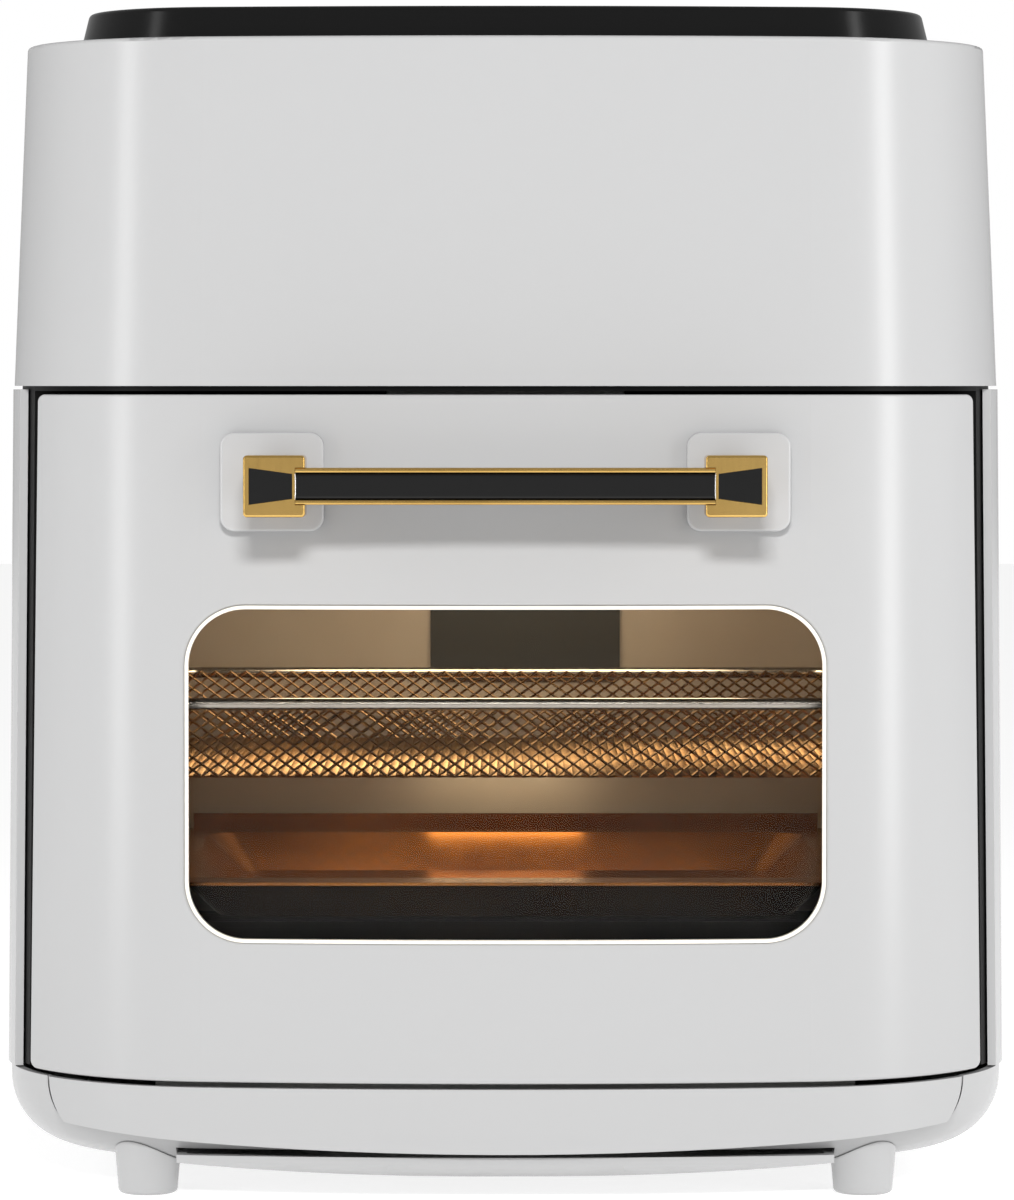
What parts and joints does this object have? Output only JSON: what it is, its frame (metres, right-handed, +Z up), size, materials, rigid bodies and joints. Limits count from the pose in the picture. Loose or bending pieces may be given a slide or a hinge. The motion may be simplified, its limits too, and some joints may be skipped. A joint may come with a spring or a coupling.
{
  "type": "air fryer oven",
  "caption": "Countertop air fryer oven with a drop-down windowed front door, bar handle, slide-out mesh basket and tray, and a flat control panel on top.",
  "frame": {"origin": "centre of the footprint (handle and cord gland included) on the surface it stands on", "axes": "+Z up, -Y towards the user in front of the door, +X to the user's right"},
  "size_m": [0.326, 0.341, 0.3767],
  "materials": {
    "white_shell": "glossy moulded",
    "black_gloss": "glossy black moulded",
    "black_glass": "dark back-printed glass",
    "window_glass": "clear tempered",
    "gilt": "polished gold-tone plated",
    "trim_cream": "satin",
    "steel_dull": "dull sheet",
    "oven_steel": "satin, warm from baking",
    "dark_enamel": "dark enamel",
    "rack_chrome": "plated wire",
    "tray_metal": "baked gold-brown",
    "screw_steel": "plated",
    "dark_plastic": "black satin",
    "seal_rubber": "soft black silicone",
    "magnet": "nickel",
    "board_green": "board",
    "element_metal": "dark heater tube",
    "fan_metal": "mill",
    "bush_bronze": "sintered",
    "lamp_white": "glazed",
    "bulb_glass": "warm"
  },
  "bodies": {
    "housing": {"base_tub": "white_shell", "chin_panel": "white_shell", "bottom_cover": "white_shell", "feet": "white_shell", "foot_screws": "screw_steel", "chassis": "steel_dull", "hinge_arms": "steel_dull", "side_shell": "white_shell", "rear_cover": "dark_plastic", "rear_screws": "screw_steel", "cord_gland": "dark_plastic", "front_bezel": "black_gloss", "catch_magnets": "magnet", "upper_housing": "white_shell", "panel_frame": "black_gloss", "panel_glass": "black_glass", "control_board": "board_green", "cavity_liner": "oven_steel", "left_rack_rails": "oven_steel", "right_rack_rails": "oven_steel", "crumb_tray": "dark_enamel", "vent_plate": "dark_enamel", "exhaust_duct": "steel_dull", "hot_air_shroud": "steel_dull", "heater_guard": "oven_steel", "heating_element": "element_metal", "element_brackets": "steel_dull", "motor": "dark_plastic", "shaft_bushes": "bush_bronze", "motor_bracket": "steel_dull", "top_deck": "steel_dull", "power_board": "board_green", "door_switch": "dark_plastic", "thermal_cutout": "dark_plastic", "lamp_holder": "lamp_white", "lamp_bulb": "bulb_glass", "lamp_glass": "window_glass", "temperature_probe": "screw_steel"},
    "door": {"door_skin": "white_shell", "window_trim": "trim_cream", "window_glass_outer": "window_glass", "window_glass_inner": "window_glass", "door_inner_panel": "steel_dull", "door_seal": "seal_rubber", "strike_plates": "steel_dull", "hinge_brackets": "steel_dull", "hinge_pins": "screw_steel", "door_springs": "screw_steel", "handle_pads": "white_shell", "handle_caps": "gilt", "handle_bar": "black_gloss", "handle_strips": "gilt", "cap_inserts": "black_gloss", "handle_screws": "screw_steel"},
    "basket": {"basket_mesh": "rack_chrome", "basket_rim": "rack_chrome"},
    "tray": {"baking_tray": "tray_metal"},
    "rotor": {"fan_blade": "fan_metal", "motor_shaft": "screw_steel", "cooling_fan": "dark_plastic"}
  },
  "joints": [
    {"name": "door_hinge", "type": "hinge", "parent": "housing", "child": "door", "pos_m": [0, -0.1235, 0.0562], "axis": [1, 0, 0], "range_deg": [0, 90], "stiffness_Nm_per_rad": 0.4, "springref_deg": -17.19},
    {"name": "basket_slide", "type": "slide", "parent": "housing", "child": "basket", "axis": [0, -1, 0], "range_m": [0, 0.136]},
    {"name": "tray_slide", "type": "slide", "parent": "housing", "child": "tray", "axis": [0, -1, 0], "range_m": [0, 0.042]},
    {"name": "fan_spin", "type": "hinge", "parent": "housing", "child": "rotor", "pos_m": [0, 0.0105, 0.28], "axis": [0, 0, 1], "continuous": true}
  ],
  "couplings": [
    {"joint": "basket_slide", "follows": "door_hinge", "m_per_rad": 0.085},
    {"joint": "tray_slide", "follows": "door_hinge", "m_per_rad": 0.026}
  ]
}
